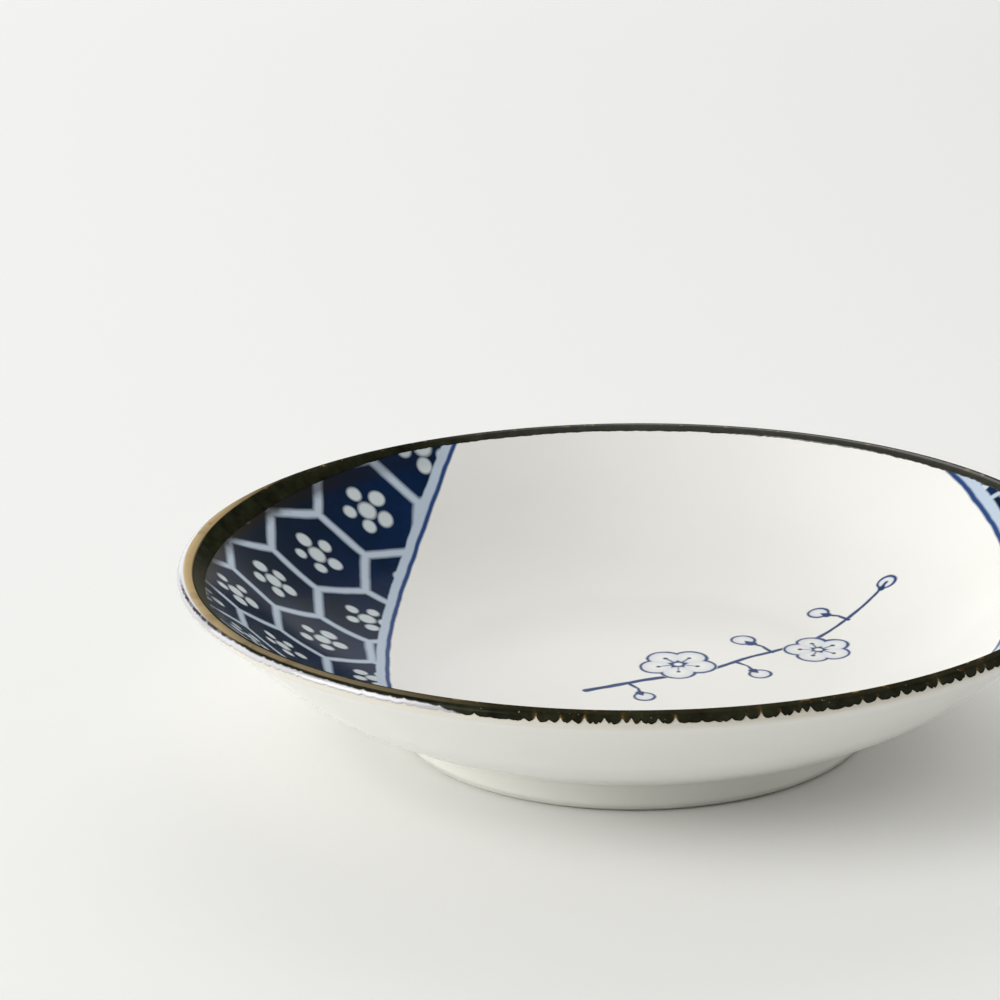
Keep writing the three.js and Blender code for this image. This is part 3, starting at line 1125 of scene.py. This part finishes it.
clayBody = turnedPiece("clayBody", clayPoints, clayBodyFinish)
innerGlaze = turnedPiece("innerGlaze", innerPoints, paintedFinish)
outerGlaze = turnedPiece("outerGlaze", outerPoints, outerGlazeFinish)
baseGlaze = turnedPiece("baseGlaze", basePoints, outerGlazeFinish)
rimBand = turnedPiece("rimBand", bandPoints, bandGlazeFinish, bandNumbers, bandRuns)

# The painted skin's map is seen from straight above, with its underside small in a corner
mapPlan = {
    "reach": 0.0505,
    "aboveMiddle": 0.5,
    "aboveHalf": 0.498,
    "cornerMiddle": 0.066,
    "cornerHalf": 0.055,
}


def mapFromAbove(piece):
    mesh = piece.data
    spots = mesh.uv_layers.new(name="OFBake").data
    for face in mesh.polygons:
        part = "above" if face.normal.z > 0 else "corner"
        middle = mapPlan[part + "Middle"]
        share = mapPlan[part + "Half"] / mapPlan["reach"]
        for loop in face.loop_indices:
            corner = mesh.vertices[mesh.loops[loop].vertex_index].co
            spots[loop].uv = (middle + share * corner.x, middle + share * corner.y)


mapFromAbove(innerGlaze)

for piece, slot, nodes in (
    (clayBody, "porcelain", ("clay_body",)),
    (innerGlaze, "clear_glaze", ("inner_glaze", "left_pattern", "right_pattern", "sprig")),
    (outerGlaze, "clear_glaze", ("outer_glaze",)),
    (baseGlaze, "clear_glaze", ("base_glaze",)),
    (rimBand, "iron_glaze", ("rim_glaze",)),
):
    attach(piece, "root")
    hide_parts(*nodes)
print("pieces placed")

# Floor, light and camera
stageLook = {
    "floorColour": (0.84, 0.84, 0.82, 1),
    "floorRoughness": 0.9,
    "floorGloss": 0.2,
    "floorHalf": 4.0,
    "backdrop": (0.86, 0.86, 0.84, 1),    # what the camera sees past the lit part of the table
    "backdropFrom": 0.9,
    "backdropFull": 1.4,
    "skyColour": (1, 1, 1, 1),
    # sky level towards each side
    "sky": {
        (1, 0, 0): 1.12,
        (0, 1, 0): 1.08,
        (0, -1, 0): 0.10,
        (0, 0, 1): 0.52,
    },
    "lampDistance": 1.6,
    # each soft box: power, width, height, direction round from +X, rise above the table
    "lamps": {
        "keyLow": (8.4, 0.9, 0.62, math.radians(200), math.radians(11)),
        "keyMid": (5.9, 0.9, 0.6, math.radians(205), math.radians(24)),
        "keyHigh": (8.2, 0.8, 0.7, math.radians(216), math.radians(38)),
        "leftSide": (4.6, 0.95, 0.76, math.radians(167), math.radians(13.5)),
        "leftBack": (1.5, 1.1, 0.68, math.radians(125), math.radians(12)),
        "fill": (4.5, 1.2, 1.2, math.radians(90), math.radians(35)),
    },
}
photoCamera = {
    "distance": 0.2842,
    "elevation": math.radians(22.241),
    "yaw": math.radians(-3.155),
    "pitch": math.radians(17.325),
    "roll": math.radians(-1.244),
    "lens": 90,
    "sensor": 36,
    "clip": (0.01, 20),
}


def makeFloor():
    half = stageLook["floorHalf"]
    mesh = bpy.data.meshes.new("floor")
    corners = [(-half, -half, 0), (half, -half, 0), (half, half, 0), (-half, half, 0)]
    mesh.from_pydata(corners, [], [(0, 1, 2, 3)])
    floor = bpy.data.objects.new("floor", mesh)
    bpy.context.scene.collection.objects.link(floor)
    material, wire = newFinish("paleTable")
    table = wire.node("ShaderNodeBsdfPrincipled", {}, {
        "Base Color": stageLook["floorColour"],
        "Roughness": stageLook["floorRoughness"],
        "Specular IOR Level": stageLook["floorGloss"],
    })
    backdrop = wire.node("ShaderNodeEmission", {}, {"Color": stageLook["backdrop"]})
    x, y, z = objectPlace(wire).parts()
    away = hypot(x, y).ramp(stageLook["backdropFrom"], stageLook["backdropFull"])
    seen = wire.node("ShaderNodeLightPath", {}, {}, "Is Camera Ray")
    both = wire.node("ShaderNodeMixShader", {}, {0: seen * away, 1: table, 2: backdrop})
    end = wire.tree.nodes.new("ShaderNodeOutputMaterial")
    wire.tree.links.new(both.socket, end.inputs["Surface"])
    mesh.materials.append(material)


def makeLights():
    world = bpy.data.worlds.new("studio")
    world.use_nodes = True
    sky = world.node_tree.nodes["Background"]
    sky.inputs["Color"].default_value = stageLook["skyColour"]
    wire = Wire(world.node_tree)
    x, y, z = wire.node("ShaderNodeTexCoord", {}, {}, "Generated").parts()
    level = 0.0
    for (toX, toY, toZ), glow in stageLook["sky"].items():
        facing = (x * toX + y * toY + z * toZ).most(0.0)
        level = facing * facing * glow + level
    seen = wire.node("ShaderNodeLightPath", {}, {}, "Is Camera Ray")
    level = seen.choose(level, stageLook["backdrop"][0])
    world.node_tree.links.new(level.socket, sky.inputs["Strength"])
    bpy.context.scene.world = world
    for name, (power, width, height, turn, rise) in stageLook["lamps"].items():
        lamp = bpy.data.lights.new(name, "AREA")
        lamp.shape = "RECTANGLE"
        lamp.size = width
        lamp.size_y = height
        lamp.energy = power
        holder = bpy.data.objects.new(name, lamp)
        out = math.cos(rise)
        towards = Vector((out * math.cos(turn), out * math.sin(turn), math.sin(rise)))
        holder.location = stageLook["lampDistance"] * towards
        holder.rotation_euler = towards.to_track_quat("Z", "Y").to_euler()
        holder.visible_camera = False
        bpy.context.scene.collection.objects.link(holder)


def makeCamera():
    view = photoCamera
    data = bpy.data.cameras.new("photo")
    data.lens = view["lens"]
    data.sensor_width = view["sensor"]
    data.clip_start, data.clip_end = view["clip"]
    camera = bpy.data.objects.new("photo", data)
    yaw, pitch, roll = view["yaw"], view["pitch"], view["roll"]
    forward = Vector((
        math.sin(yaw) * math.cos(pitch),
        math.cos(yaw) * math.cos(pitch),
        -math.sin(pitch),
    ))
    level = Vector((math.cos(yaw), -math.sin(yaw), 0))
    upright = level.cross(forward)
    right = level * math.cos(roll) + upright * math.sin(roll)
    up = upright * math.cos(roll) - level * math.sin(roll)
    columns = Matrix((right, up, -forward)).transposed().to_4x4()
    back = heading(view["elevation"]) * view["distance"]
    camera.matrix_world = Matrix.Translation((0, -back.x, back.y)) @ columns
    bpy.context.scene.collection.objects.link(camera)
    bpy.context.scene.camera = camera


makeFloor()
makeLights()
makeCamera()
bpy.context.scene.view_settings.view_transform = "Standard"
print("stage ready")
